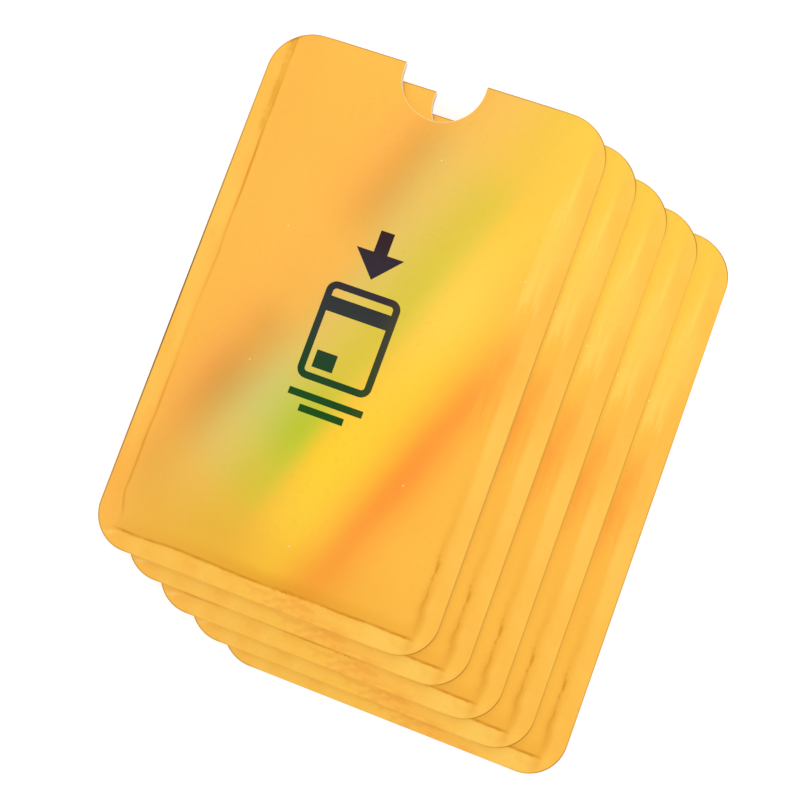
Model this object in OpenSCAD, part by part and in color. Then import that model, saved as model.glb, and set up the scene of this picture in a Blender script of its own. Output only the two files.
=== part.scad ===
// Card sleeves of gold foil laminate, a fanned set in which each sleeve lies on the next.
// Every sleeve is a flat back panel and a formed front panel, each made of paper, foil and film.
// Three heat-sealed seams join the panels, the fourth end is the mouth for the card.
// Millimetres, +Z up, +Y towards the mouths, origin under the middle of the set.

/* [Card] */
// Width of the card that the pocket takes
card_w = 53.98; // [50:0.01:56]
// Length of the card
card_l = 85.6; // [80:0.1:90]
// Thickness of the card
card_t = 0.76; // [0.5:0.02:1.2]
// Corner radius of the card
card_corner_r = 3.18; // [2.5:0.02:4]

/* [Pocket] */
// Gap between the card and the raised pocket's edge, on each side
card_side_gap = 0.11; // [0.05:0.01:0.6]
// Gap between the card and the raised pocket's edge, at the base
card_base_gap = 0.1; // [0.05:0.01:1]
// Gap over the card, under the front panel
card_top_gap = 0.14; // [0.05:0.01:0.5]
// How far inside the mouth the card's end lies
mouth_depth = 4.4; // [3:0.1:10]
// Width of the slope between the flat rim and the raised pocket
step_run = 0.9; // [0.3:0.05:1.2]

/* [Rim] */
// Width of the flat sealed rim
seam_w = 2; // [1.8:0.1:6]
// Thickness of the heat seal
seal_t = 0.1; // [0.06:0.01:0.2]
// Radius of the two outer corners at the mouth
mouth_corner_r = 7.4; // [4:0.1:12]
// Radius of the two outer corners at the base
base_corner_r = 6.6; // [4:0.1:8]

/* [Thumb notch] */
// Radius of the thumb notch
notch_r = 7.2; // [5:0.1:12]
// Distance of the notch's centre inside the mouth edge
notch_set = 1.1; // [0:0.1:4]

/* [Laminate] */
// Thickness of the paper, the inner layer
paper_t = 0.2; // [0.12:0.01:0.35]
// Thickness of the aluminium foil, the middle layer
foil_t = 0.05; // [0.04:0.01:0.1]
// Thickness of the gold film, the outer layer
film_t = 0.05; // [0.04:0.01:0.1]

/* [Print] */
// Thickness of the ink
ink_t = 0.03; // [0.03:0.01:0.05]
// Width of the printed card outline
mark_w = 13; // [9:0.5:20]
// Length of the printed card outline
mark_l = 17; // [12:0.5:30]
// Thickness of the printed lines
mark_line = 1.2; // [0.8:0.1:2]
// Gap between the printed figures
mark_gap = 2; // [1.2:0.1:4]
// Length of the printed arrow
arrow_l = 8.4; // [6:0.1:12]
// Distance from the sleeve's middle to the printed card outline's middle, towards the base
mark_drop = 1; // [-5:0.5:5]

/* [Fan] */
// How far each sleeve lies to the right of the one above it, top pair first
fan_right = [6.25, 6.6, 6.3, 6.25]; // [3:0.05:9]
// How far each sleeve lies towards the base from the one above it, top pair first
fan_down = [2.8, 3.35, 2.65, 2.15]; // [0:0.05:6]
// Free height between two sleeves
stack_gap = 0.05; // [0.03:0.01:0.3]

/* [Hidden] */
$fn = 96;
sleeve_count = len(fan_right) + 1;
PIECES = ["back_film", "back_foil", "back_paper", "left_seal", "right_seal", "base_seal",
          "front_paper", "front_foil", "front_film", "print"];

// Plan of the pocket, from the card outwards
foot_x = card_w / 2 + card_side_gap + step_run;
foot_r = card_corner_r + card_side_gap + step_run;
sleeve_w = 2 * (foot_x + seam_w);
sleeve_l = seam_w + step_run + card_base_gap + card_l + mouth_depth;
mouth_y = sleeve_l / 2;
base_y = -sleeve_l / 2;
foot_y = base_y + seam_w;

// Heights in one sleeve, from its underside
panel_t = film_t + foil_t + paper_t;
seal_z = panel_t;
rim_z = seal_z + seal_t;
step_rise = card_t + card_top_gap - seal_t;
sleeve_t = rim_z + step_rise + panel_t;
pitch_z = sleeve_t + ink_t + stack_gap;

// How far a bend moves outwards for each unit of distance from the pocket's inner surface
bend_shift = tan(atan2(step_rise, step_run) / 2);
// How far the flat ends of a formed bend run into the flats beside it
lap = 0.2;
// How far a cutting shape runs past what it cuts
past = 1;

// Printed figures, from the card outline's middle
mark_r = 1.8;
stripe_l = 2.6;
stripe_y = 2.6;
chip_w = 3.6;
chip_l = 3;
shaft_w = 2.4;
head_w = 8.4;
head_l = 4.6;
short_rule = 0.6;

film_gold = [0.99, 0.72, 0.26];
foil_silver = [0.80, 0.80, 0.82];
paper_white = [0.95, 0.94, 0.90];
seal_clear = [0.93, 0.90, 0.80];
ink_dark = [0.10, 0.16, 0.30];

function total(values, count) = count < 1 ? 0 : values[count - 1] + total(values, count - 1);
function sleeve_x(n) = total(fan_right, n - 1) - total(fan_right, sleeve_count - 1) / 2;
function sleeve_y(n) = total(fan_down, sleeve_count - 1) / 2 - total(fan_down, n - 1);

// Puts a piece of sleeve n in its place in the fan, 1 is the top sleeve
module in_sleeve(n) {
    translate([sleeve_x(n), sleeve_y(n), (sleeve_count - n) * pitch_z]) children();
}

// A rectangle centred across, from y = low to y = high, with its own corner radius at each end
module rounded_panel(w, low, high, low_r, high_r) {
    translate([-w / 2, low + low_r]) square([w, high - low - low_r - high_r]);
    translate([low_r - w / 2, low]) square([w - 2 * low_r, low_r + lap]);
    translate([high_r - w / 2, high - high_r - lap]) square([w - 2 * high_r, high_r + lap]);
    for (side = [-1, 1]) {
        translate([side * (w / 2 - low_r), low + low_r]) circle(low_r);
        translate([side * (w / 2 - high_r), high - high_r]) circle(high_r);
    }
}

// Outline of both panels, with the thumb notch in the mouth edge
module outline() {
    difference() {
        rounded_panel(sleeve_w, base_y, mouth_y, base_corner_r, mouth_corner_r);
        translate([0, mouth_y - notch_set]) circle(notch_r);
        translate([-notch_r, mouth_y - notch_set]) square([2 * notch_r, notch_set + past]);
    }
}

// The pocket's plan, its edge moved inwards from the foot of the slope, open past the mouth
module pocket_plan(inwards) {
    w = 2 * (foot_x - inwards);
    r = foot_r - inwards;
    low = foot_y + inwards;
    translate([-w / 2, low + r]) square([w, mouth_y + past - low - r]);
    translate([r - w / 2, low]) square([w - 2 * r, r + lap]);
    for (side = [-1, 1]) translate([side * (w / 2 - r), low + r]) circle(r);
}

// A flat layer of the back panel, from height low to height high
module flat_sheet(low, high) {
    translate([0, 0, low]) linear_extrude(high - low) outline();
}

// Section through a formed layer at the pocket's edge, x into the pocket, y up from the rim.
// near and far are its two faces' distances from the pocket's inner surface.
function step_section(near, far) = [
    [-bend_shift * far - lap, near],
    [-bend_shift * near, near],
    [step_run - bend_shift * near, step_rise + near],
    [step_run - bend_shift * near + lap, step_rise + near],
    [step_run - bend_shift * near + lap, step_rise + far],
    [step_run - bend_shift * far, step_rise + far],
    [-bend_shift * far, far],
    [-bend_shift * far - lap, far]
];

// The slope round one half of the pocket: the left side, the base corner and half of the base
module half_step(near, far) {
    corner_x = foot_r - foot_x;
    corner_y = foot_y + foot_r;
    translate([-foot_x, mouth_y + past, 0])
        rotate([90, 0, 0])
            linear_extrude(mouth_y + past - corner_y) polygon(step_section(near, far));
    translate([corner_x, foot_y, 0])
        rotate([90, 0, 90])
            linear_extrude(-corner_x + lap) polygon(step_section(near, far));
    translate([corner_x, corner_y, 0])
        rotate([0, 0, 180])
            rotate_extrude(angle = 90)
                polygon([for (point = step_section(near, far)) [foot_r - point.x, point.y]]);
}

// A formed layer of the front panel: flat rim, slope and raised pocket, cut to the outline
module formed_sheet(near, far) {
    intersection() {
        linear_extrude(sleeve_t + past) outline();
        translate([0, 0, rim_z]) {
            translate([0, 0, near]) linear_extrude(far - near) difference() {
                square([sleeve_w + 2 * past, sleeve_l + 2 * past], center = true);
                pocket_plan(-bend_shift * far);
            }
            half_step(near, far);
            mirror([1, 0, 0]) half_step(near, far);
            translate([0, 0, step_rise + near]) linear_extrude(far - near)
                pocket_plan(step_run - bend_shift * near);
        }
    }
}

// A length of the heat seal between the panels, cut from the rim by the band it is given
module seal_band() {
    translate([0, 0, seal_z]) linear_extrude(seal_t) intersection() {
        difference() {
            outline();
            pocket_plan(0);
        }
        children();
    }
}

// The seam beside the pocket, from the base seam up to the mouth
module side_seal() {
    seal_band() translate([-sleeve_w / 2 - past, foot_y + foot_r])
        square([seam_w + 2 * past, sleeve_l]);
}

module back_film(n) {
    color(film_gold) in_sleeve(n) flat_sheet(0, film_t);
}

module back_foil(n) {
    color(foil_silver) in_sleeve(n) flat_sheet(film_t, film_t + foil_t);
}

module back_paper(n) {
    color(paper_white) in_sleeve(n) flat_sheet(film_t + foil_t, panel_t);
}

module left_seal(n) {
    color(seal_clear) in_sleeve(n) side_seal();
}

module right_seal(n) {
    color(seal_clear) in_sleeve(n) mirror([1, 0, 0]) side_seal();
}

module base_seal(n) {
    color(seal_clear) in_sleeve(n) seal_band()
        translate([-sleeve_w / 2 - past, base_y - past])
            square([sleeve_w + 2 * past, past + seam_w + foot_r]);
}

module front_paper(n) {
    color(paper_white) in_sleeve(n) formed_sheet(0, paper_t);
}

module front_foil(n) {
    color(foil_silver) in_sleeve(n) formed_sheet(paper_t, paper_t + foil_t);
}

module front_film(n) {
    color(film_gold) in_sleeve(n) formed_sheet(paper_t + foil_t, panel_t);
}

// The printed card outline with its stripe and chip
module card_figure() {
    inner_w = mark_w - 2 * mark_line;
    difference() {
        rounded_panel(mark_w, -mark_l / 2, mark_l / 2, mark_r, mark_r);
        rounded_panel(inner_w, mark_line - mark_l / 2, mark_l / 2 - mark_line,
                      mark_r - mark_line, mark_r - mark_line);
    }
    translate([-mark_w / 2 + mark_line / 2, mark_l / 2 - stripe_y - stripe_l])
        square([mark_w - mark_line, stripe_l]);
    translate([mark_line + mark_gap / 2 - mark_w / 2, mark_line + mark_gap / 2 - mark_l / 2])
        square([chip_w, chip_l]);
}

// The printed arrow, pointing into the pocket, with its tip at the origin
module arrow_figure() {
    polygon([
        [0, 0], [head_w / 2, head_l], [shaft_w / 2, head_l], [shaft_w / 2, arrow_l],
        [-shaft_w / 2, arrow_l], [-shaft_w / 2, head_l], [-head_w / 2, head_l]
    ]);
}

// Two plain rules under the card outline
module rule_figures() {
    for (row = [0, 1]) {
        rule_w = row == 0 ? mark_w : mark_w * short_rule;
        translate([-rule_w / 2, -mark_line - row * (mark_line + mark_gap / 2)])
            square([rule_w, mark_line]);
    }
}

module print(n) {
    color(ink_dark) in_sleeve(n) translate([0, -mark_drop, sleeve_t]) linear_extrude(ink_t) {
        card_figure();
        translate([0, mark_l / 2 + mark_gap]) arrow_figure();
        translate([0, -mark_l / 2 - mark_gap]) rule_figures();
    }
}

for (n = [1 : sleeve_count]) {
    back_film(n);
    back_foil(n);
    back_paper(n);
    left_seal(n);
    right_seal(n);
    base_seal(n);
    front_paper(n);
    front_foil(n);
    front_film(n);
    print(n);
}
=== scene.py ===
"""A fanned set of card sleeves, each a flat pocket of gold foil laminate for one card.

Every sleeve is built from its layers: film, foil and paper for both panels, the heat seal
between them, and the ink on the front. Lengths are written in millimetres of one sleeve's own
place, with its middle at the origin and its underside at height zero.
"""

import math

import bmesh
import bpy
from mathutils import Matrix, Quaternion, Vector, geometry, noise


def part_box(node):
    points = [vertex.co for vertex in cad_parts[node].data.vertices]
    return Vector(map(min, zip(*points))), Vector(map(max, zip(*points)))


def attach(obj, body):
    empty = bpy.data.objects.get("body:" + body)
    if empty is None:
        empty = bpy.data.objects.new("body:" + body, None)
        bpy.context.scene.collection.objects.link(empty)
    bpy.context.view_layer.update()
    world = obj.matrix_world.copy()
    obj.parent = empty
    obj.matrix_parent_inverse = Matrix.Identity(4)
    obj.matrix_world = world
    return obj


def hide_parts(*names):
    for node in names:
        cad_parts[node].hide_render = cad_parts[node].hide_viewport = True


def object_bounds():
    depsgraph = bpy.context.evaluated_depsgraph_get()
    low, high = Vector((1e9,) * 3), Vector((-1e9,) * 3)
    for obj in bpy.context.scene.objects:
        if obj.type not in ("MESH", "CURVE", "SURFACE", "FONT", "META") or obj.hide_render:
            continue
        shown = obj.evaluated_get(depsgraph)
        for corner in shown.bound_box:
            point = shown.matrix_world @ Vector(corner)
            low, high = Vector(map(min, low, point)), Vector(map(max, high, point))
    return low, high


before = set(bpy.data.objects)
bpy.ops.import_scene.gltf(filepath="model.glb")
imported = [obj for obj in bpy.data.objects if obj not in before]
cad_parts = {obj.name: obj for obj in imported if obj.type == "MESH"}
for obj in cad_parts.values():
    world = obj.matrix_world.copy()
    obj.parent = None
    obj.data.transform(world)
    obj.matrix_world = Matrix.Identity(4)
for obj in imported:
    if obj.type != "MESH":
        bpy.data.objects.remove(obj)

mm = 0.001
cad_low, cad_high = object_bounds()

# The camera
# The fan lies flat and is seen from nearly straight above, a little from its right and base side.
# The picture is turned, so that the mouths point to its upper right.
picture_px = 800
focal_px = 1187
sensor_w = 36
nearest = 0.01
furthest = 20
camera_place = Vector((24.82, -16.2, 198.76)) * mm
camera_aim = Vector((-1.34, -2.11, 7.02)) * mm
camera_turn = math.radians(-41.82)

camera_data = bpy.data.cameras.new("camera")
camera_data.sensor_width = sensor_w
camera_data.lens = sensor_w * focal_px / picture_px
camera_data.clip_start = nearest
camera_data.clip_end = furthest
camera = bpy.data.objects.new("camera", camera_data)
bpy.context.scene.collection.objects.link(camera)
camera.location = camera_place
camera.rotation_mode = "QUATERNION"
camera_facing = (camera_aim - camera_place).to_track_quat("-Z", "Y")
camera.rotation_quaternion = camera_facing @ Quaternion((0, 0, 1), camera_turn)
bpy.context.scene.camera = camera

# The cut blank
# Both panels of a sleeve are die-cut together, with round corners and a round thumb notch in the
# mouth edge. Rows of points follow the three sealed sides, where the blank is creased, and a wider
# grid fills the middle.
sleeves = sorted(int(name.rsplit("_", 1)[1]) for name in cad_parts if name.startswith("back_film_"))
blank_low, blank_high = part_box("back_film_1")
half_w = (blank_high.x - blank_low.x) / 2 / mm
half_l = (blank_high.y - blank_low.y) / 2 / mm
mouth_corner_r = 7.4
base_corner_r = 6.6
crease_corner_r = 0.9
corner_shrink = 1.55
notch_r = 7.2
notch_y = half_l - 1.1
row_clearance = 0.2
grid_clearance = 0.5
same_point = 1e-5


def arc(x, y, radius, start, end, step=0.5):
    """Points on an arc about x, y, from one angle in degrees to another, about step apart"""
    count = max(3, round(abs(math.radians(end - start)) * radius / step))
    angles = [math.radians(start + (end - start) * i / count) for i in range(count + 1)]
    return [(x + radius * math.cos(a), y + radius * math.sin(a)) for a in angles]


def stepped(corners, step):
    """The same line with points no further apart than step"""
    points = []
    for (x0, y0), (x1, y1) in zip(corners, corners[1:]):
        count = max(1, math.ceil(math.hypot(x1 - x0, y1 - y0) / step))
        points += [(x0 + (x1 - x0) * i / count, y0 + (y1 - y0) * i / count) for i in range(count)]
    return points + [corners[-1]]


def sealed_side(inset):
    """A line down the left side, round the base and up the right side, inset from the cut edge.
    Its corners grow tighter inwards, as the crease's are."""
    radius = max(crease_corner_r, base_corner_r - corner_shrink * inset)
    x = half_w - inset - radius
    y = inset + radius - half_l
    line = [(inset - half_w, half_l)]
    line += arc(-x, y, radius, 180, 270)
    line += arc(x, y, radius, 270, 360)
    return line + [(half_w - inset, half_l)]


def cut_line():
    """The blank's outline once round, with its first point again at the end"""
    x = half_w - mouth_corner_r
    y = half_l - mouth_corner_r
    line = sealed_side(0)[1:-1]
    line += arc(x, y, mouth_corner_r, 0, 90)
    line += [(notch_r, half_l)] + arc(0, notch_y, notch_r, 0, -180) + [(-notch_r, half_l)]
    line += arc(-x, y, mouth_corner_r, 90, 180)
    return line + line[:1]


def well_inside(x, y, margin):
    """Whether a point lies inside the outline by at least the margin"""
    corner_x = abs(x) - half_w + mouth_corner_r
    corner_y = y - half_l + mouth_corner_r
    if corner_x > 0 and corner_y > 0 and math.hypot(corner_x, corner_y) > mouth_corner_r - margin:
        return False
    if math.hypot(x, min(y - notch_y, 0)) < notch_r + margin:
        return False
    return abs(x) < half_w - margin and abs(y) < half_l - margin


def blank_plan(row_insets, row_step, grid_step):
    """The blank's points and triangles, with rows at the insets and a grid between them"""
    line = stepped(cut_line(), row_step)[:-1]
    points = list(line)
    for inset in row_insets:
        points += [p for p in stepped(sealed_side(inset), row_step) if well_inside(*p, row_clearance)]
    margin = row_insets[-1] + grid_step * 0.6
    columns = int((half_w - margin) / grid_step)
    rows = int((half_l - margin) / grid_step)
    for column in range(-columns, columns + 1):
        for row in range(-rows, int(half_l / grid_step) + 1):
            point = (column * grid_step, row * grid_step)
            if well_inside(*point, grid_clearance):
                points.append(point)
    loop = list(range(len(line)))
    edges = list(zip(loop, loop[1:] + loop[:1]))
    inside_only = 1
    flat = geometry.delaunay_2d_cdt([Vector(p) for p in points], edges, [loop], inside_only, same_point)
    return [tuple(p) for p in flat[0]], flat[2]


creased_rows = [0.25, 0.6, 1.0, 1.4, 1.8, 2.1, 2.35, 2.6, 2.85, 3.1, 3.35, 3.6, 3.9, 4.3, 4.8, 5.4, 6.1]
creased_plan = blank_plan(creased_rows, row_step=0.8, grid_step=2.4)
flat_plan = blank_plan([1.0, 2.0, 3.0, 4.5], row_step=1.6, grid_step=4)

# The formed front
# The front panel is ironed flat along the seals. It steps up a little at the crease beside them and
# swells gently from there to the middle, with small puckers along the crease, mostly at the base.
film_t = 0.05
foil_t = 0.05
paper_t = 0.2
seal_t = 0.1
panel_t = film_t + foil_t + paper_t
rim_z = panel_t + seal_t
pocket_rise = 0.8
most_rise = pocket_rise + 0.02
side_rise = 0.05
base_rise = 0.11
crease_foot = 2.95
crease_top = 3.45
crease_lean = 0.9
swell_foot = 2.3
swell_top = 10
pucker_h = 0.05
pucker_l = 1.7
strain_h = 0.02
strain_x = 25.4
strain_y = 24
sag_h = 0.03
sag_l = 22
side_waves = [(0.28, 17), (0.1, 4.5)]
base_waves = [(0.3, 15), (0.2, 6)]
smooth_below = math.radians(50)


def eased(value, start, end):
    """0 before start, 1 after end, and smooth between them"""
    t = min(1, max(0, (value - start) / (end - start)))
    return t * t * (3 - 2 * t)


def bell(value, centre, width):
    """1 at the centre, falling off smoothly over the width"""
    return math.exp(-(((value - centre) / width) ** 2))


def wander(x, y, scale):
    """A smooth random value from -1 to 1 that changes over about the scale"""
    return noise.noise(Vector((x / scale + 3.7, y / scale - 1.9, 0.5)))


def strayed(x, y, waves):
    """How far a crease strays from its straight line there, from waves of a size and a length"""
    return sum(size * wander(x, y, length) for size, length in waves)


def side_at(x, y):
    """Distance in from the nearer long side, as its crease runs, never quite parallel to the edge.
    The left crease leans inwards where it dies out near the base."""
    lean = crease_lean * eased(-y, half_l - 10, half_l - 5) * eased(-x, 0, 10)
    return half_w - abs(x) + strayed(x, y, side_waves) - lean


def base_at(x, y):
    """Distance in from the base, as its crease runs"""
    return half_l + y + strayed(x, y, base_waves)


def front_height(x, y):
    """Height of the front panel over the flat rim"""
    side = side_at(x, y)
    base = base_at(x, y)
    at_base = eased(-y, half_l - 9, half_l - 5)
    raised = eased(side, crease_foot, crease_top) * eased(base, crease_foot, crease_top)
    swollen = eased(side, swell_foot, swell_top) * eased(base, swell_foot, swell_top)
    rise = side_rise + (base_rise - side_rise) * at_base
    height = rise * raised + (pocket_rise - rise) * swollen
    puckered = bell(side, 3.4, 0.8) * 0.3 + bell(base, 3.6, 1.1)
    height += pucker_h * puckered * raised * wander(x * (1 + at_base), y * (2 - at_base), pucker_l)
    height += strain_h * bell(x, strain_x, 1) * bell(y, strain_y, 13)
    height += sag_h * raised * (wander(x, y, sag_l) - 1)
    return max(0, min(height, most_rise))


def no_height(x, y):
    """The back panel stays flat"""
    return 0


def sheet(name, plan, height, low, high):
    """One layer of a panel as a closed sheet, which keeps the distances of its creases"""
    points, triangles = plan
    made = bmesh.new()
    side = made.verts.layers.float.new("side")
    base = made.verts.layers.float.new("base")
    faces = []
    for level in (low, high):
        corners = []
        for x, y in points:
            corner = made.verts.new((x * mm, y * mm, (height(x, y) + level) * mm))
            corner[side] = side_at(x, y)
            corner[base] = base_at(x, y)
            corners.append(corner)
        faces.append(corners)
    under, over = faces
    for triangle in triangles:
        made.faces.new([over[i] for i in triangle])
        made.faces.new([under[i] for i in reversed(triangle)])
    made.verts.index_update()
    size = len(points)
    for edge in [edge for edge in made.edges if edge.is_boundary and edge.verts[0].index < size]:
        loop = edge.link_loops[0]
        start = loop.vert.index
        end = loop.link_loop_next.vert.index
        made.faces.new([under[end], under[start], over[start], over[end]])
    made.normal_update()
    for face in made.faces:
        face.smooth = True
    for edge in made.edges:
        edge.smooth = edge.calc_face_angle(0) < smooth_below
    mesh = bpy.data.meshes.new(name)
    made.to_mesh(mesh)
    made.free()
    return mesh


def lay(mesh, name, number, node, material):
    """Puts one layer of sleeve number in place, on its body, for its node of the frame"""
    low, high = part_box(f"back_film_{number}")
    piece = bpy.data.objects.new(f"{name}_{number}", mesh)
    bpy.context.scene.collection.objects.link(piece)
    piece.location = ((low.x + high.x) / 2, (low.y + high.y) / 2, low.z)
    mesh.materials.append(material)
    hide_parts(f"{node}_{number}")
    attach(piece, f"sleeve_{number}")
    return piece


# The gold film
# The outer skin is a metallised holographic film: satin gold, with its holographic sheen painted as soft
# lanes of green, yellow and orange across the sleeve, painted lighter on the ironed rim and with painted
# shade in the creases.


class Wire:
    """A socket in a node tree, on which sums, products and other nodes are written"""

    def __init__(self, tree, socket):
        self.tree = tree
        self.socket = socket

    def node(self, kind, inputs, settings=None, out=0):
        """A new node with its settings and inputs, as the wire of one of its outputs"""
        made = self.tree.nodes.new(f"ShaderNode{kind}")
        for name, value in (settings or {}).items():
            if name == "stops":
                stops = made.color_ramp.elements
                while len(stops) < len(value):
                    stops.new(0.5)
                for stop, (position, colour) in zip(stops, value):
                    stop.position = position
                    stop.color = colour
            elif name == "easing":
                made.color_ramp.interpolation = value
            else:
                setattr(made, name, value)
        for name, value in inputs.items():
            if isinstance(value, Wire):
                self.tree.links.new(value.socket, made.inputs[name])
            else:
                made.inputs[name].default_value = value
        return Wire(self.tree, made.outputs[out])

    def math(self, operation, *others):
        """A Math node on this value and the others"""
        values = dict(enumerate((self, *others)))
        return self.node("Math", values, {"operation": operation})

    def __add__(self, other):
        return self.math("ADD", other)

    def __sub__(self, other):
        return self.math("SUBTRACT", other)

    def __rsub__(self, other):
        return self * -1 + other

    def __mul__(self, other):
        return self.math("MULTIPLY", other)

    def __truediv__(self, other):
        return self.math("DIVIDE", other)

    __radd__ = __add__
    __rmul__ = __mul__

    def __abs__(self):
        return self.math("ABSOLUTE")

    def part(self, index):
        """The x, y or z of this vector, as numbers 0, 1 and 2"""
        return self.node("SeparateXYZ", {0: self}, out=index)

    def eased(self, start, end):
        """0 before start, 1 after end, and smooth between them"""
        limits = {"Value": self, "From Min": start, "From Max": end}
        return self.node("MapRange", limits, {"interpolation_type": "SMOOTHSTEP"})

    def bell(self, centre, width):
        """1 at the centre, falling off smoothly over the width"""
        t = (self - centre) / width
        return (t * t * -1).math("EXPONENT")

    def ramp(self, start, end, stops, easing="EASE"):
        """A colour that changes along the value, from stops of value and colour"""
        spread = [((at - start) / (end - start), paint(colour)) for at, colour in stops]
        place = (self - start) / (end - start)
        return place.node("ValToRGB", {"Fac": place}, {"stops": spread, "easing": easing})

    def under(self, colour, amount):
        """This colour with another laid over it by an amount from 0 to 1. The Mix node takes them
        at its inputs 6 and 7."""
        over = colour if isinstance(colour, Wire) else paint(colour)
        return self.node("Mix", {0: amount, 6: self, 7: over}, {"data_type": "RGBA"}, 2)

    def cloud(self, scale, detail=2, stretch=(1, 1, 1)):
        """Soft noise about 0.5 over this place, with lumps about one scale wide"""
        spread = tuple(part / scale for part in stretch)
        place = self.node("VectorMath", {0: self, 1: spread}, {"operation": "MULTIPLY"})
        return self.node("TexNoise", {"Vector": place, "Scale": 1.0, "Detail": detail})


def paint(colour):
    """A colour written as six hexadecimal digits, or a grey from 0 to 1, as the shaders take it"""
    if not isinstance(colour, str):
        return (colour, colour, colour, 1)
    parts = [int(colour[i : i + 2], 16) / 255 for i in (0, 2, 4)]
    return (*[p / 12.92 if p <= 0.04045 else ((p + 0.055) / 1.055) ** 2.4 for p in parts], 1)


def finish(name):
    """A new material, with its shader and the place on the sleeve in millimetres"""
    material = bpy.data.materials.new(name)
    material.use_nodes = True
    tree = material.node_tree
    shader = tree.nodes["Principled BSDF"]
    start = Wire(tree, None)
    place = start.node("TexCoord", {}, out="Object")
    place = place.node("VectorMath", {0: place, "Scale": 1 / mm}, {"operation": "SCALE"})
    return material, shader, place


def feed(shader, **inputs):
    """Sets the shader's inputs, numbers as they are and wires as links"""
    for name, value in inputs.items():
        socket = shader.inputs[name.replace("_", " ")]
        if isinstance(value, Wire):
            value.tree.links.new(value.socket, socket)
        else:
            socket.default_value = value


def bumped(height, strength, depth):
    """The surface's direction on a relief of the height, with its depth in millimetres"""
    return height.node("Bump", {"Height": height, "Strength": strength, "Distance": depth * mm})


def from_outer_edge(x, y):
    """Distance in from the outer cut edge, round corners included"""
    at_mouth = y.math("GREATER_THAN", 0)
    corner_r = at_mouth * (mouth_corner_r - base_corner_r) + base_corner_r
    across = abs(x) - half_w + corner_r
    along = abs(y) - half_l + corner_r
    outer_x = across.math("MAXIMUM", 0)
    outer_y = along.math("MAXIMUM", 0)
    outside = (outer_x * outer_x + outer_y * outer_y).math("SQRT")
    within = across.math("MAXIMUM", along).math("MINIMUM", 0)
    return corner_r - outside - within


def from_notch(x, y):
    """Distance in from the cut edge of the thumb notch"""
    down = (y - notch_y).math("MINIMUM", 0)
    return (x * x + down * down).math("SQRT") - notch_r


class FilmPlace:
    """A place on the film, how far in from the long sides and the base it lies, and on which part"""

    def __init__(self, place):
        self.place = place
        self.x = place.part(0)
        self.y = place.part(1)
        self.side = place.node("Attribute", {}, {"attribute_name": "side"}, "Fac")
        self.base = place.node("Attribute", {}, {"attribute_name": "base"}, "Fac")
        self.at_left = self.x.eased(-20, -24)
        self.at_right = self.x.eased(20, 24)
        side_rim = 1 - self.side.eased(2.5, 3.4)
        base_rim = 1 - self.base.eased(2.8, 3.2)
        self.rim = side_rim.math("MAXIMUM", base_rim)
        self.strained = place.cloud(0.8, 2, (1, 0.08, 1))


# The lanes are painted sheen and run at a slant to the sleeve. Each list goes across them or along
# them, in millimetres, and the strengths are those of the lanes at the left, in the middle and at the
# right.
lane_turn = math.radians(65)
lane_shear = 0.08
shear_from = 18
gold_tones = [(-40, "FEBF50"), (-8, "FEBC50"), (12, "FEC64C"), (40, "FEBE4A")]
sheen_lane_colours = [
    (-20, "FEBA4C"),
    (-15, "F8AE4E"),
    (-11, "E2A24A"),
    (-7, "D7B35C"),
    (-3.5, "D4C66A"),
    (0.5, "CACA58"),
    (4.2, "C0C83A"),
    (7.1, "CCCA34"),
    (9.8, "F6CC34"),
    (13, "FFD234"),
    (17.7, "FFC836"),
    (20.7, "FEB034"),
    (23.4, "FD9734"),
    (26, "FEA53A"),
    (29, "FEB642"),
    (34, "FEBC46"),
]
left_strength = [
    (-46, 0.2), (-36, 0.45), (-20, 1), (-10, 0.7), (-2, 0.2),
    (7, 0.12), (20, 0.7), (30, 0.7), (40, 0.28),
]
middle_strength = [
    (-46, 0.1), (-36, 0.36), (-28, 0.66), (-17, 1),
    (-4, 0.56), (12, 0.6), (28, 0.48), (40, 0.22),
]
right_strength = [
    (-46, 0.8), (-36, 0.75), (-24, 0.8), (-12, 0.95),
    (4, 0.82), (13, 0.58), (21, 0.2), (40, 0.1),
]
# Painted shade towards the base, and a painted highlight on the yellow lane
base_shade_olive = "EAAE36"
base_shade_amber = "F2A42C"
sheen_highlight_gold = "FFDE64"


def lane_sheen(film):
    """Plain gold with the painted sheen lanes over it, painted shade towards the base and a painted
    highlight on the yellow lane
    """
    x, y = film.x, film.y
    warp = (film.place.cloud(22) - 0.5) * 2.5
    across = x * math.sin(lane_turn) - y * math.cos(lane_turn) + warp
    along = x * math.cos(lane_turn) + y * math.sin(lane_turn)
    across = across + (along + shear_from) * lane_shear
    across = across + (film.strained - 0.5) * x.eased(22.5, 24.5) * 7
    # The holographic sheen, painted as fixed lanes of colour
    lanes = across.ramp(-20, 34, sheen_lane_colours, "CARDINAL")
    left = along.ramp(-46, 40, left_strength)
    middle = along.ramp(-46, 40, middle_strength)
    right = along.ramp(-46, 40, right_strength)
    strength = left.under(middle, across.eased(-9, -3)).under(right, across.eased(10, 18))
    colour = across.ramp(-40, 40, gold_tones).under(lanes, strength)
    # Painted shade darkens the film towards the base; a painted highlight lightens the yellow lane.
    colour = colour.under(base_shade_olive, y.eased(-22, -40) * x.eased(4, -8) * x.eased(-29, -20) * 0.6)
    colour = colour.under(base_shade_amber, y.eased(-30, -42) * x.bell(8, 14) * 0.4)
    return colour.under(sheen_highlight_gold, along.bell(15, 13) * across.bell(11.5, 5) * 0.4)


# The ironed rim is painted lighter and plainer than the panel inside it, with painted highlights.
rim_painted_light_tones = [(0.3, "FDBF4E"), (0.7, "FFC95A")]
rim_amber = "FCAE46"
rim_highlight = "FFD264"


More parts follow.
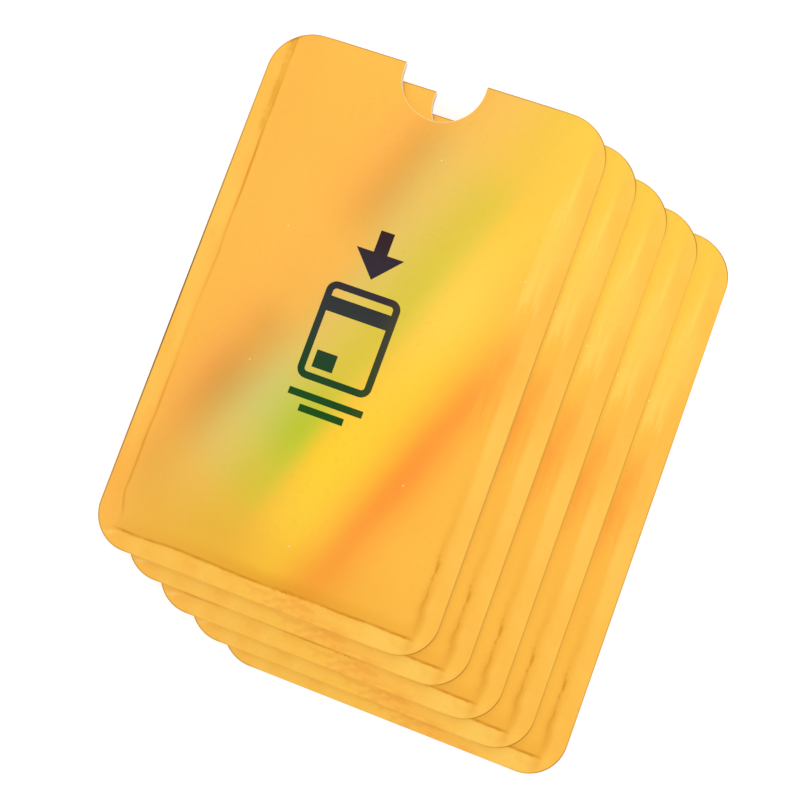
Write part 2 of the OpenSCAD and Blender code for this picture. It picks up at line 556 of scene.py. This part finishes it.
def with_rim(colour, film):
    """The colour with the ironed rim painted lighter over it, and its painted highlights"""
    x, y, rim = film.x, film.y, film.rim
    rim_tone = film.place.cloud(4, 3, (1, 0.4, 1)).ramp(0.3, 0.7, rim_painted_light_tones)
    # The rim is painted lighter, with painted highlights at the right end of the base and along the right
    # side.
    colour = colour.under(rim_tone, rim * (0.75 - 0.2 * film.at_right))
    colour = colour.under(rim_amber, rim * film.at_left * y.bell(-36, 8) * 0.6)
    colour = colour.under(rim_highlight, rim * x.bell(23, 5) * y.bell(-45, 3) * 0.5)
    return colour.under(rim_highlight, rim * film.at_right * y.bell(-10, 9) * 0.35)


# The left crease is painted as thin, broken shade, wider near the mouth.
left_crease_shade_tone = "E2921C"
upper_crease_shade_tone = "DE981F"


def with_left_crease_shade(colour, film, depth):
    """The colour with the painted shade of the left crease in it, as strong as the depth says"""
    place, y = film.place, film.y
    patches = place.cloud(7).eased(0.3, 0.6)
    ragged = place.cloud(1.8, 3).eased(0.35, 0.65)
    run = film.side + (place.cloud(2, 3, (1, 0.5, 1)) - 0.5) * 0.35
    firm = (0.3 + 0.35 * patches) * (1 - 0.75 * y.bell(-8, 11))
    firm = firm + 0.45 * y.bell(21, 7) + 0.3 * y.bell(-26, 9)
    fold = run.bell(3.5, 0.2) * firm * y.eased(-42, -39)
    upper_fold = run.bell(2.9, 0.55) * y.eased(25, 31) * (0.2 + 0.4 * ragged)
    # Painted shade of the left crease
    colour = colour.under(left_crease_shade_tone, fold * film.at_left * depth)
    return colour.under(upper_crease_shade_tone, upper_fold * film.at_left * depth)


# The right crease is crushed rather than folded, painted as a soft shade with ragged darker marks of
# painted shade near the base.
right_shade_tone = "E6A032"
right_crease_dark_shade = "CF8418"


def with_right_crease_shade(colour, film, depth):
    """The colour with the painted shade of the right crease in it, as strong as the depth says"""
    place, y = film.place, film.y
    ragged = place.cloud(1.8, 3).eased(0.42, 0.55)
    run = film.side + (place.cloud(2.4, 3, (1, 0.6, 1)) - 0.5) * 1.6
    shade = run.bell(3.6, 0.8) * (0.25 * y.eased(-10, -26) + 0.4 * y.bell(-38.5, 3.5))
    fold = run.bell(3.75, 0.22) * y.bell(-32.5, 5) * (0.35 + 0.65 * ragged)
    # Painted shade of the right crease
    colour = colour.under(right_shade_tone, shade * film.at_right * depth)
    return colour.under(right_crease_dark_shade, fold * film.at_right * 0.7 * depth)


# The base crease is the sharpest, painted as a dark line with painted shade beside it. The film
# beside it is rumpled in the middle of the base and pinched at its left end, painted as light and dark
# streaks and a highlight.
base_shade_tone = "E39C28"
base_crease_shade_line = "D0861A"
rumple_highlight = "FFD068"
rumple_shade = "F09C3A"
pinch_highlight = "FFD880"


def with_base_crease_shade(colour, film, depth):
    """The colour with the painted shade of the base crease and the painted highlights and shade of its
    rumples in it, as strong as the depth says
    """
    place, x, y, base = film.place, film.x, film.y, film.base
    patches = place.cloud(7).eased(0.3, 0.6)
    ragged = place.cloud(1.8, 3).eased(0.4, 0.6)
    run = base + (place.cloud(0.9) - 0.5) * (0.2 + 1.4 * x.bell(4.4, 2))
    ends = x.eased(-27, -24.5) * x.eased(27, 25.5)
    fold = run.bell(3.22, 0.22) * ends * (0.35 + 0.35 * patches + 0.3 * ragged)
    shade = run.eased(3, 3.3) * base.eased(6.5, 3.4) * ends * (0.3 + 0.7 * x.bell(4, 14))
    rumple = place.cloud(1.5, 2, (0.5, 1, 1))
    near_base = base.eased(4.4, 3) * (0.3 + 0.7 * x.bell(6, 9))
    pinch = (y - x * 0.3 + 36.35).bell(0, 0.3) * x.bell(-26.5, 0.9)
    # Painted shade of the base crease, painted light and shade on the rumples, and a painted highlight at
    # the pinch
    colour = colour.under(base_shade_tone, shade * 0.7 * depth)
    colour = colour.under(rumple_highlight, rumple.eased(0.54, 0.7) * near_base * 0.4 * depth)
    colour = colour.under(rumple_shade, rumple.eased(0.46, 0.3) * near_base * 0.4 * depth)
    colour = colour.under(pinch_highlight, pinch * 0.5 * depth)
    return colour.under(base_crease_shade_line, fold * 0.9 * depth)


# Beside the right crease the film is strained lengthways; its gleam is painted as a highlight in fine
# streaks.
painted_gleam_tone = "FFDC6C"


def with_painted_gleam(colour, film, depth):
    """The colour with a painted milky highlight over the strained right side"""
    x, y, strained = film.x, film.y, film.strained
    slant = x - y * 0.03
    upper_end = y.eased(38, 27).math("MAXIMUM", x.bell(26.7, 0.6) * y.eased(43, 34))
    lit = (y + (strained - 0.5) * 22).eased(10, 17) * upper_end
    streaks = 0.45 + 0.55 * strained.eased(0.38, 0.62)
    gleam = slant.eased(23.4, 24) * slant.eased(28.2, 25.6) * lit * streaks
    # Painted highlight
    return colour.under(painted_gleam_tone, gleam * 0.5 * depth)


# The film is mottled and a little dusty. A dark line is painted along the outer cut edge, and painted
# shade darkens the mouth end of the left crease.
mottle_tone = "DE9C40"
dust_tone = "FFF0C4"
dust_apart = 28
cut_tone = "9A6208"
left_cut_tone = "70491E"
notch_cut_tone = "FFE6B4"


def with_dust_and_edge_lines(colour, film):
    """The colour with mottling, dust, the dark and pale lines painted along the cut edges, and painted
    shade at the mouth end of the left crease over it
    """
    place, x, y = film.place, film.x, film.y
    mottle = place.cloud(0.9, 4).eased(0.52, 0.75)
    colour = colour.under(mottle_tone, mottle * (0.1 + 0.15 * y.bell(39, 6) * x.bell(-3, 8)))
    flecks = {"Vector": place, "Scale": 1 / dust_apart}
    dust = place.node("TexVoronoi", flecks, {"voronoi_dimensions": "2D"})
    colour = colour.under(dust_tone, dust.eased(0.005, 0.003) * 0.8)
    edge = from_outer_edge(x, y)
    at_base = y.eased(6 - half_l, 2 - half_l) * abs(x).eased(25, 21)
    faint_on_right = film.at_right * y.eased(4, 22) * y.eased(41, 37)
    at_corner = x.eased(25.5, 27.5) * abs(y).eased(39.5, 42.5)
    at_mouth = y.eased(44, 46) * abs(x).eased(22, 18)
    left_crease_end_shade = film.side.bell(3.2, 0.9) * film.at_left * y.eased(41, 44)
    # The dark line along the outer cut edge is fainter on parts of the right side and the base, stronger at
    # the right corners and the mouth, and darker on the left.
    line = 0.45 - 0.32 * faint_on_right - 0.3 * at_base + 0.35 * at_corner + 0.25 * at_mouth
    colour = colour.under(cut_tone, edge.eased(0.24, 0.06) * line)
    colour = colour.under(left_cut_tone, edge.eased(0.34, 0.1) * film.at_left * y.bell(-6, 30))
    # Painted shade at the mouth end of the left crease
    colour = colour.under(cut_tone, edge.eased(0.7, 0.2) * left_crease_end_shade * 0.45)
    return colour.under(notch_cut_tone, from_notch(x, y).eased(0.12, 0.04) * 0.7)


def gold_film(name, crease_depth):
    """The film, with the painted shade and highlights of its creases as strong as crease_depth says"""
    material, shader, place = finish(name)
    film = FilmPlace(place)
    colour = with_rim(lane_sheen(film), film)
    colour = with_left_crease_shade(colour, film, crease_depth)
    colour = with_right_crease_shade(colour, film, crease_depth)
    colour = with_base_crease_shade(colour, film, crease_depth)
    colour = with_dust_and_edge_lines(with_painted_gleam(colour, film, crease_depth), film)
    grain = place.cloud(0.35, 3)
    streaks = place.cloud(0.5, 2, (1, 0.06, 1))
    near_crease = film.base.bell(3.2, 0.9) + film.side.bell(3.4, 0.6) * 0.4
    puckers = place.cloud(1.6, 2, (1, 0.6, 1)) * near_crease
    height = grain * 0.05 + streaks * 0.1 + puckers * crease_depth
    feed(
        shader,
        Base_Color=colour,
        Metallic=0.85,
        Roughness=0.34 + 0.08 * grain + 0.06 * film.rim,
        Normal=bumped(height, 0.8, 0.04),
    )
    return material


front_film_finish = gold_film("gold_film_front", 1)
back_film_finish = gold_film("gold_film_back", 0.35)
front_film_mesh = sheet("front_film", creased_plan, front_height, rim_z + paper_t + foil_t, rim_z + panel_t)
back_film_mesh = sheet("back_film", flat_plan, no_height, 0, film_t)
for number in sleeves:
    lay(front_film_mesh.copy(), "front_skin", number, "front_film", front_film_finish)
    lay(back_film_mesh.copy(), "back_skin", number, "back_film", back_film_finish)

# The shielding foil
# Rolled aluminium, laminated between the film and the paper. Only its cut edge shows. The outer
# cut edge of the layers is painted gold, apart from the notch.
outer_edge_gold = "D08E30"
outer_edge_reach = 0.12
foil_dull = "B9BCC2"
foil_bright = "E4E6EA"


def outer_edge_gold_at(place):
    """How far the outer cut edge is painted gold"""
    edge = from_outer_edge(place.part(0), place.part(1))
    return edge.eased(outer_edge_reach, outer_edge_reach / 3) * 0.6


def foil_finish():
    """Bright rolled aluminium, with fine lines along the rolling direction"""
    material, shader, place = finish("rolled_foil")
    lines = place.cloud(0.3, 3, (1, 0.05, 1))
    tone = lines.ramp(0, 1, [(0, foil_dull), (1, foil_bright)]).under(outer_edge_gold, outer_edge_gold_at(place))
    roughness = 0.22 + 0.14 * lines
    feed(shader, Base_Color=tone, Metallic=1.0, Roughness=roughness, Normal=bumped(lines, 0.3, 0.02))
    return material


foil_material = foil_finish()
front_foil_mesh = sheet("front_foil", creased_plan, front_height, rim_z + paper_t, rim_z + paper_t + foil_t)
back_foil_mesh = sheet("back_foil", flat_plan, no_height, film_t, film_t + foil_t)
for number in sleeves:
    lay(front_foil_mesh.copy(), "front_shield", number, "front_foil", foil_material)
    lay(back_foil_mesh.copy(), "back_shield", number, "back_foil", foil_material)

# The paper
# White uncoated paper lines the pocket, so that the card slides. It shows inside the mouths and
# at the cut edge of the notches; at the outer edge it is painted gold.
paper_shade = "E9E6DE"
paper_white = "F7F5F0"


def paper_finish():
    """Matt white paper with short fibres"""
    material, shader, place = finish("white_paper")
    fibres = place.cloud(0.25, 4, (1, 0.3, 1))
    clouds = place.cloud(3)
    tone = (fibres * 0.6 + clouds * 0.4).ramp(0.2, 0.8, [(0.2, paper_shade), (0.8, paper_white)])
    tone = tone.under(outer_edge_gold, outer_edge_gold_at(place))
    feed(shader, Base_Color=tone, Roughness=0.88 + 0.1 * fibres, Normal=bumped(fibres, 0.4, 0.04))
    return material


paper_material = paper_finish()
front_paper_mesh = sheet("front_paper", creased_plan, front_height, rim_z, rim_z + paper_t)
back_paper_mesh = sheet("back_paper", flat_plan, no_height, film_t + foil_t, panel_t)
for number in sleeves:
    lay(front_paper_mesh.copy(), "front_lining", number, "front_paper", paper_material)
    lay(back_paper_mesh.copy(), "back_lining", number, "back_paper", paper_material)

# The heat seal
# A band of sealing layer joins the panels on the left, right and base. The frame's own solids have
# its shape, so they stay and only get its finish.
seal_dark = "D9B062"
seal_light = "E8C684"


def seal_finish():
    """Sealing layer, slightly cloudy where it was pressed, and gold in tone"""
    material, shader, place = finish("heat_seal")
    clouds = place.cloud(1.5, 3)
    tone = clouds.ramp(0.2, 0.8, [(0.2, seal_dark), (0.8, seal_light)])
    feed(shader, Base_Color=tone, Roughness=0.3 + 0.2 * clouds)
    return material


seal_material = seal_finish()
for number in sleeves:
    for edge_name in ("left", "right", "base"):
        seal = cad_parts[f"{edge_name}_seal_{number}"]
        seal.data.materials.clear()
        seal.data.materials.append(seal_material)

# The print
# A card outline with an arrow into the pocket and two rules, in dark ink with a painted sheen:
# nearly black at the mouth end and deep green at the base end.
ink_t = 0.03
ink_lift = 0.004
ink_sheen_tones = [(-16, "064C02"), (-8, "12401A"), (1, "2A3430"), (10, "2E2430"), (18, "30181E")]
ink_sheen = "5A4A10"
ink_speckle = "6A6A30"


def ink_finish():
    """Thin glossy ink, with a little painted sheen in its colour"""
    material, shader, place = finish("dark_ink")
    x = place.part(0)
    y = place.part(1)
    speckle = place.cloud(0.12, 2)
    # Painted sheen across the ink
    tone = (y + (place.cloud(6) - 0.5) * 6).ramp(-16, 18, ink_sheen_tones)
    tone = tone.under(ink_sheen, x.eased(3, 7) * 0.35)
    tone = tone.under(ink_speckle, speckle.eased(0.6, 0.8) * 0.25)
    feed(
        shader,
        Base_Color=tone,
        Roughness=0.35 + 0.15 * speckle,
        Specular_IOR_Level=0.15,
        Normal=bumped(speckle, 0.2, 0.02),
    )
    return material


def ink_mesh(number):
    """The frame's printed figures, laid on the formed front"""
    low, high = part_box(f"back_film_{number}")
    middle = (low + high) / 2
    made = bmesh.new()
    made.from_mesh(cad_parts[f"print_{number}"].data)
    bmesh.ops.remove_doubles(made, verts=made.verts, dist=0.001 * mm)
    bottom = min(v.co.z for v in made.verts)
    for corner in made.verts:
        x = (corner.co.x - middle.x) / mm
        y = (corner.co.y - middle.y) / mm
        lift = ink_t if corner.co.z > bottom + ink_t * mm / 2 else 0
        z = rim_z + panel_t + front_height(x, y) + lift + ink_lift
        corner.co = (x * mm, y * mm, z * mm)
    made.normal_update()
    mesh = bpy.data.meshes.new("print")
    made.to_mesh(mesh)
    made.free()
    return mesh


ink_material = ink_finish()
for number in sleeves:
    mesh = ink_mesh(number)
    mesh.materials.clear()
    lay(mesh, "ink", number, "print", ink_material)

# The studio
# A white floor under a soft white sky, with one large lamp on the mouths' side for a gentle
# shadow. The floor shows as white to the camera and keeps the shadow.
floor_half = 3.0
floor_gap = 0.1 * mm
floor_tone = "CCCCCC"
floor_glow = "C4C4C4"
horizon_level = 0.78
lamp_place = Vector((0.1, 0.6, 0.4))
lamp_size = 1.0
lamp_power = 0.8

floor_mesh = bpy.data.meshes.new("floor")
floor_made = bmesh.new()
bmesh.ops.create_grid(floor_made, x_segments=8, y_segments=8, size=floor_half)
floor_made.to_mesh(floor_mesh)
floor_made.free()
floor = bpy.data.objects.new("floor", floor_mesh)
bpy.context.scene.collection.objects.link(floor)
floor.location = (0, 0, cad_low.z - floor_gap)

floor_material, floor_shader, floor_place = finish("white_floor")
seen = floor_place.node("LightPath", {}, out="Is Camera Ray")
mirrored = floor_place.node("LightPath", {}, out="Is Glossy Ray")
plain = seen.math("MAXIMUM", mirrored)
feed(
    floor_shader,
    Base_Color=paint(floor_tone),
    Roughness=0.9,
    Emission_Color=plain.ramp(0, 1, [(0, 0), (1, floor_glow)]),
    Emission_Strength=1.0,
)
floor_mesh.materials.append(floor_material)

world = bpy.data.worlds.new("sky")
bpy.context.scene.world = world
world.use_nodes = True
sky_tree = world.node_tree
sky_start = Wire(sky_tree, None)
up = sky_start.node("TexCoord", {}, out="Generated").part(2)
seen = up.node("LightPath", {}, out="Is Camera Ray")
level = horizon_level + (1 - horizon_level) * up.eased(0, 0.8)
level = level + seen * (1 - level)
sky_tree.links.new(level.socket, sky_tree.nodes["Background"].inputs["Color"])

lamp_data = bpy.data.lights.new("key_lamp", "AREA")
lamp_data.size = lamp_size
lamp_data.energy = lamp_power
lamp = bpy.data.objects.new("key_lamp", lamp_data)
bpy.context.scene.collection.objects.link(lamp)
lamp.location = lamp_place
lamp.rotation_mode = "QUATERNION"
lamp.rotation_quaternion = (-lamp_place).to_track_quat("-Z", "Y")

bpy.context.scene.view_settings.view_transform = "Standard"
